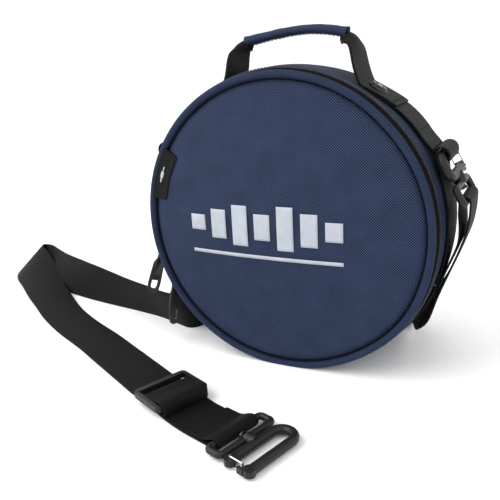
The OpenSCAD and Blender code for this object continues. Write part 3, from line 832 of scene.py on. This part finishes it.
def plug_icon(name, r, angle, lift):
    """A jack plug along the flap: strokes (from, to, width), each a strip of squares."""
    verts, faces = [], []
    for d0, d1, w in ((-7, -2.4, 0.9), (-2.4, 2.6, 2.6), (2.6, 5.4, 1.3), (5.4, 7, 0.8)):
        base = len(verts)
        for k in range(9):
            a = angle + math.degrees((d0 + (d1 - d0) * k / 8) / r)
            verts += [on_lid(r + s, a, lift) for s in (-w / 2, w / 2)]
        faces += [tuple(base + 2 * k + q for q in (0, 1, 3, 2)) for k in range(8)]
    return make(name, verts, faces, None, "print", "lid")


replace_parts(plug_icon("port_icon_plug", 109.5, 158.6, 1.72), "port_icon")

# ---------------------------------------------------------------- side webbing, loops and handle

# the loops' bar: its angle round the case and its radius
BAR_A, BAR_R = 25.3, 128.8
# (x, z) along the middle of the grip, and up each leg from the side wall
GRIP = [(-41, 258.6), (-35, 259.9), (-24, 261.7), (-10, 263.7), (6, 265.1), (20, 264.9),
        (32, 263.4), (39, 261.9), (42.5, 261.0)]
LEGS = {"right": [(55.9, 226.8), (54.4, 230.5), (52.6, 236), (51.2, 242), (50.4, 248),
                  (49.6, 253.4), (47.4, 257.8), (43.6, 260.2), (38.5, 261.5)],
        "left": [(55.4, 226.4), (52.8, 230), (50.8, 235.4), (49.6, 241.4), (49.0, 247),
                 (48.4, 252), (46.6, 256.4), (42.8, 258.6), (37.5, 259.4)]}


def side_webbing(side):
    """The webbing sewn up the wall, which stands off it in a loop for the hook."""
    m = 1 if side == "right" else -1
    pts = []
    for a in list(range(-45, 21, 3)):
        x, _, z = polar(a, SIDE_WEB_R + swell(a), 0)
        pts.append((x, z))
    cx, _, cz = polar(BAR_A, BAR_R, 0)
    for psi in (-128, -105, -80, -55, -30, 0, 30, 55, 80, 105, 128):
        g = math.radians(BAR_A + psi)
        pts.append((cx + 5.5 * math.cos(g), cz + 5.5 * math.sin(g)))
    for a in range(33, 61, 3):
        x, _, z = polar(a, SIDE_WEB_R + max(0, swell(a)) + press(a), 0)
        pts.append((x, z))
    st = spline([(m * x, 0.0, z, 0.0, -WEB_HALF * m, 0.0) for x, z in pts], 3)
    web = ribbon("side_webbing_" + side, st, 1.5, "webbing", "case")
    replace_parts(web, "web_strip_" + side, "side_loop_" + side)
    for a, tag in ((49.0, "top"), (36.0, "upper"), (17.5, "lower")):
        r = 124.55 if tag != "top" else 126.2
        rows = [Vector(polar(a, r + max(0, swell(a)) + press(a), y)) for y in range(-17, 18)]
        n = (math.cos(math.radians(a)) * m, 0, math.sin(math.radians(a)))
        stitches("loop_stitch_%s_%s" % (tag, side), [(m * p.x, p.y, p.z) for p in rows],
                 [n] * len(rows), "thread", "case", 3.0, 2.1, 0.3)


def leg(side):
    """Webbing that leaves the side wall flat, then folds lengthwise into the grip."""
    m = 1 if side == "right" else -1
    sewn = [polar(a, LEG_R + press(a), 0)[::2] for a in (47, 50, 53, 56, 59, 61.5)]
    steps = 5
    st = spline(sewn + LEGS[side], steps)
    total = len(st) - 1
    k0 = len(sewn) * steps  # the first station that is free of the wall
    spans = [i / 14 - 1 for i in range(29)]
    verts, faces, cloth, run = [], [], [], 0.0
    rows = []
    for i, (x, z) in enumerate(st):
        x0, z0 = st[max(0, i - 1)]
        x1, z1 = st[min(total, i + 1)]
        tx, tz = x1 - x0, z1 - z0
        d = math.hypot(tx, tz)
        nx, nz = tz / d, -tx / d
        if i:
            run += math.hypot(x - x0, z - z0)
        f = max(0.0, (i - k0) / (total - k0))
        curl = 0.03 + 3.0 * f ** 5
        length = 20 - 12.5 * f ** 3.5
        radius = length / curl
        lean = 2.2 * math.sin(math.pi * f) * m
        row = []
        for t_in in (0, 1):
            for s in spans:
                rr = radius + (1.5 if t_in else 0)
                g = s * curl
                w = rr * math.sin(g)
                drop = radius - rr * math.cos(g)
                px, pz = x - nx * drop, z - nz * drop
                row.append((m * px, -w + lean * abs(s) * f, pz))
        rows.append((row, run, length))
    n = len(spans)
    for row, _, _ in rows:
        verts += row
    for i in range(total):
        b, c = i * 2 * n, (i + 1) * 2 * n
        for j in range(n - 1):
            for off, flip in ((0, True), (n, False)):
                f = (b + off + j, b + off + j + 1, c + off + j + 1, c + off + j)
                uv = ((rows[i][1], spans[j] * 20), (rows[i][1], spans[j + 1] * 20),
                      (rows[i + 1][1], spans[j + 1] * 20), (rows[i + 1][1], spans[j] * 20))
                if flip == (m > 0):
                    f, uv = f[::-1], uv[::-1]
                faces.append(f)
                cloth.append(uv)
        for j in (0, n - 1):
            f = (b + j, b + n + j, c + n + j, c + j)
            faces.append(f if j == 0 else f[::-1])
            cloth.append(((0, 0), (0, 1.5), (1, 1.5), (1, 0)))
    faces.append(tuple(range(n)) + tuple(range(2 * n - 1, n - 1, -1)))
    cloth.append(((0.0, 0.0),) * (2 * n))
    obj = make("handle_webbing_" + side, verts, faces, cloth, "webbing", None)
    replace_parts(obj, "handle_leg_" + side)
    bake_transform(obj)


side_webbing("right")
side_webbing("left")
leg("right")
leg("left")


def tube(name, stations, sides, mat, body):
    """stations: (centre, half depth, half height); the section may be an ellipse."""
    verts, faces, cloth, run = [], [], [], [0.0]
    pts = [Vector(c) for c, _, _ in stations]
    for i, (c, d, h) in enumerate(stations):
        if i:
            run.append(run[-1] + (pts[i] - pts[i - 1]).length)
        t = (pts[min(i + 1, len(pts) - 1)] - pts[max(i - 1, 0)]).normalized()
        side = Vector((0, 1, 0))
        top = t.cross(side).normalized() * -1
        for k in range(sides):
            g = 2 * math.pi * k / sides
            verts.append(tuple(pts[i] + side * (d * math.cos(g)) + top * (h * math.sin(g))))
    for i in range(len(pts) - 1):
        for k in range(sides):
            q = (k + 1) % sides
            faces.append((i * sides + k, i * sides + q, (i + 1) * sides + q, (i + 1) * sides + k))
            around = math.pi * (stations[i][1] + stations[i][2]) / sides
            v0, v1 = k * around, (k + 1) * around
            cloth.append(((run[i], v0), (run[i], v1), (run[i + 1], v1), (run[i + 1], v0)))
    faces.append(tuple(range(sides))[::-1])
    faces.append(tuple((len(pts) - 1) * sides + k for k in range(sides)))
    cloth += [((0.0, 0.0),) * sides] * 2
    return make(name, verts, faces, cloth, mat, body)


grip_line = spline(GRIP, 6)
stations = []
for i, (x, z) in enumerate(grip_line):
    f = abs(2 * i / (len(grip_line) - 1) - 1)
    fat = 0.35 * noise.noise(Vector((x * 0.12, 3, 1)))
    stations.append(((x, 0.0, z), 6.1 - 0.2 * f + fat, 3.5 + 1.1 * f ** 3 + fat))
grip = tube("grip_cover_cloth", stations, 40, "wall", "handle")
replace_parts(grip, "handle_cover", "handle_core")
seam_pts = [(x, 1.2, z - h - 0.15) for (x, _, z), _, h in stations]
stitches("grip_seam_stitch", seam_pts, [(0, 0, -1)] * len(seam_pts), "navy_thread", "handle",
         3.4, 2.4, 0.32)

rivet_rim = [(0, 0.0), (7.3, 0.0), (7.5, 0.5), (7.1, 1.0), (6.3, 1.2), (5.9, 1.0), (0, 0.9)]
rivet_cap = [(0, 0.9), (6.2, 0.9), (6.4, 1.5), (5.9, 2.3), (4.9, 2.75), (4.0, 2.6), (3.3, 2.0),
             (2.2, 1.8), (1.2, 2.1), (0, 2.3)]
for side, a in (("right", 57), ("left", 123)):
    g = math.radians(a)
    out = Vector((math.cos(g), 0, math.sin(g)))
    along = Vector((-math.sin(g), 0, math.cos(g)))
    base = Vector(polar(a, 126.0 + press(a), -2))
    turn = Matrix((along, out.cross(along), out)).transposed().to_4x4()
    turn.translation = base
    turned("rivet_rim_" + side, rivet_rim, turn, "rim_grey", "case")
    cap = turned("rivet_cap_" + side, rivet_cap, turn, "black_metal", "case")
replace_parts(cap, "rivet_caps")
paint("steel", "rivet_posts")

# ---------------------------------------------------------------- strap ends, hooks and adjuster

TURN_HALF, TURN_T = 19.6, 1.55  # webbing where it goes round an eye: narrower and drawn thin
HEAD = math.radians(118.7)  # which way the clipped hook points
cx, _, cz = polar(BAR_A, BAR_R, 0)
eye_x, eye_z = cx - 31.5 * math.cos(HEAD), cz - 31.5 * math.sin(HEAD)
bar_x, bar_z = eye_x - 6 * math.cos(HEAD), eye_z - 6 * math.sin(HEAD)
bend_r = 3.1
turn_path = [(bar_x - bend_r, z) for z in (131.4, 134.5, 137.5)]
turn_path += [(bar_x + bend_r * math.cos(math.radians(g)),
               bar_z + bend_r * math.sin(math.radians(g))) for g in range(180, -1, -20)]
turn_path += [(bar_x + bend_r, 137.5), (137.5, 134.5), (137.4, 131.4)]
turn_web = ribbon("strap_turn_web", [(x, 0, z, 0, TURN_HALF, 0) for x, z in turn_path], TURN_T,
                  "webbing", "clipped_hook")
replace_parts(turn_web, "strap_turn")

LOOSE = math.radians(-18)  # which way the loose hook points
along = Vector((math.cos(LOOSE), math.sin(LOOSE), 0))
across = Vector((-math.sin(LOOSE), math.cos(LOOSE), 0))
eye = Vector((14, -154, 0))


def loose_at(u, z, v=0.0):
    """A point u along the loose hook from its eye, v across it and z above the floor."""
    return tuple(eye + along * u + across * v + Vector((0, 0, z)))


end_path = [(-13.5, 1.85), (-10, 1.75), (-6.5, 1.72)]
end_path += [(-6 + 2.95 * math.cos(math.radians(g)), 4.65 + 2.95 * math.sin(math.radians(g)))
             for g in range(-80, 101, 20)]
end_path += [(-9.5, 6.7), (-13, 4.9), (-17, 3.0), (-21, 2.25), (-26, 2.1), (-31, 2.05),
             (-33.5, 2.05)]
end_line = spline([loose_at(u, z) + tuple(across * -TURN_HALF) for u, z in end_path], 2)
end_web = ribbon("strap_end_web", end_line, TURN_T, "webbing", "case")
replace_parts(end_web, "strap_end")
for tag, u, z, slope in (("a", -17.5, 4.55, 0.35), ("b", -29.5, 3.72, 0.0)):
    rows = [loose_at(u, z, v) for v in range(-17, 18)]
    facing = tuple(Vector((0, 0, 1)) + along * slope)
    stitches("strap_end_stitch_" + tag, rows, [facing] * len(rows),
             "thread", "case", 2.9, 2.0, 0.32)

ADJ = math.radians(-24)  # which way the adjuster is turned on the strap
a_along = Vector((math.cos(ADJ), math.sin(ADJ), 0))
a_across = Vector((-math.sin(ADJ), math.cos(ADJ), 0))
wrap_path = [(-13.0, 4.3), (-11.2, 4.9), (-8.4, 7.0), (-5.6, 8.9), (-2.4, 9.35), (2.4, 9.45),
             (6.5, 10.0), (11.5, 11.1), (15.0, 11.5), (17.4, 11.2), (18.8, 9.9), (19.0, 7.6),
             (18.9, 5.0), (18.4, 3.6)]
wrap_line = spline([tuple(Vector((-59, -127.4, z)) + a_along * u) + tuple(a_across * WEB_HALF)
                    for u, z in wrap_path], 4)
wrap = ribbon("adjuster_web", wrap_line, 1.5, "webbing", "adjuster")
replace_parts(wrap, "adjuster_wrap")

paint("plastic", "clipped_hook", "clipped_hook_eye", "loose_hook", "loose_hook_eye", "adjuster")
paint("black_metal", "clipped_hook_pin", "loose_hook_pin")
paint("steel", "clipped_hook_gate", "loose_hook_gate")
paint("black_metal", "slider_upper", "slider_lower")

# ---------------------------------------------------------------- zipper pulls


def arc(x, r, g0, g1, n=10):
    """Points on a circle about (x, 0), from one angle to another."""
    angles = [math.radians(g0 + (g1 - g0) * i / n) for i in range(n + 1)]
    return [(x + r * math.cos(g), r * math.sin(g)) for g in angles]


def pull(name, at, heading, twist, body, node):
    """A zipper pull: an eye on the slider, a neck that twists, and a leaf with a window."""
    edge = [(4.5, 2.5), (8.5, 3.0), (11, 4.3), (24, 5.0), (33, 5.2)]
    outline = arc(0.4, 2.9, 250, 110) + edge + arc(37.2, 5.0, 75, -75)
    outline += [(x, -y) for x, y in edge[::-1]]
    hole = arc(1.0, 1.5, 0, 350, 12)
    window = [(28.5, 3.1), (34.0, 3.2)] + arc(36.2, 3.0, 70, -70, 8)
    window += [(34.0, -3.2), (28.5, -3.1)]
    g = math.radians(heading)
    out = Vector((math.cos(g), 0, math.sin(g)))
    side = Vector((0, 1, 0))
    turn = Matrix((out, side, out.cross(side))).transposed().to_4x4()
    turn.translation = Vector(at)
    obj = plate(name, outline, [hole, window], 2.2, 0.5, turn, "black_metal", body,
                twist=lambda x: twist * max(0.0, min(1.0, (x - 3.5) / 5)))
    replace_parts(obj, node)


pull("zipper_pull_upper", (-121.12, SEAM, 83.77), 249.6, 52, "upper_pull", "pull_upper")
pull("zipper_pull_lower", (-110.20, SEAM, 57.41), 263.8, 18, "lower_pull", "pull_lower")

# ---------------------------------------------------------------- floor and light

me = bpy.data.meshes.new("floor")
me.from_pydata([(-6, -6, 0), (6, -6, 0), (6, 6, 0), (-6, 6, 0)], [], [(0, 1, 2, 3)])
floor = bpy.data.objects.new("floor", me)
bpy.context.scene.collection.objects.link(floor)
pale = Shader("pale_floor", (0.97, 0.97, 0.97), 0.8, spec=0.05)
me.materials.append(pale.mat)

bpy.context.scene.view_settings.view_transform = "Standard"
world = bpy.data.worlds.new("studio")
bpy.context.scene.world = world
world.use_nodes = True
sky = world.node_tree.nodes["Background"]
sky.inputs["Color"].default_value = (1, 1, 1, 1)
sky.inputs["Strength"].default_value = 1.12


def lamp(name, where, aim, size, power):
    """A round soft light, in metres and watts, that faces aim."""
    data = bpy.data.lights.new(name, "AREA")
    data.shape, data.size, data.energy = "DISK", size, power
    obj = bpy.data.objects.new(name, data)
    bpy.context.scene.collection.objects.link(obj)
    obj.location = where
    obj.rotation_mode = "QUATERNION"
    obj.rotation_quaternion = (Vector(aim) - Vector(where)).to_track_quat("-Z", "Y")


lamp("key", (-1.2, -0.9, 1.3), (-0.05, 0, 0.12), 2.0, 30)
lamp("fill", (1.2, -0.8, 0.9), (0, 0, 0.1), 1.0, 3)
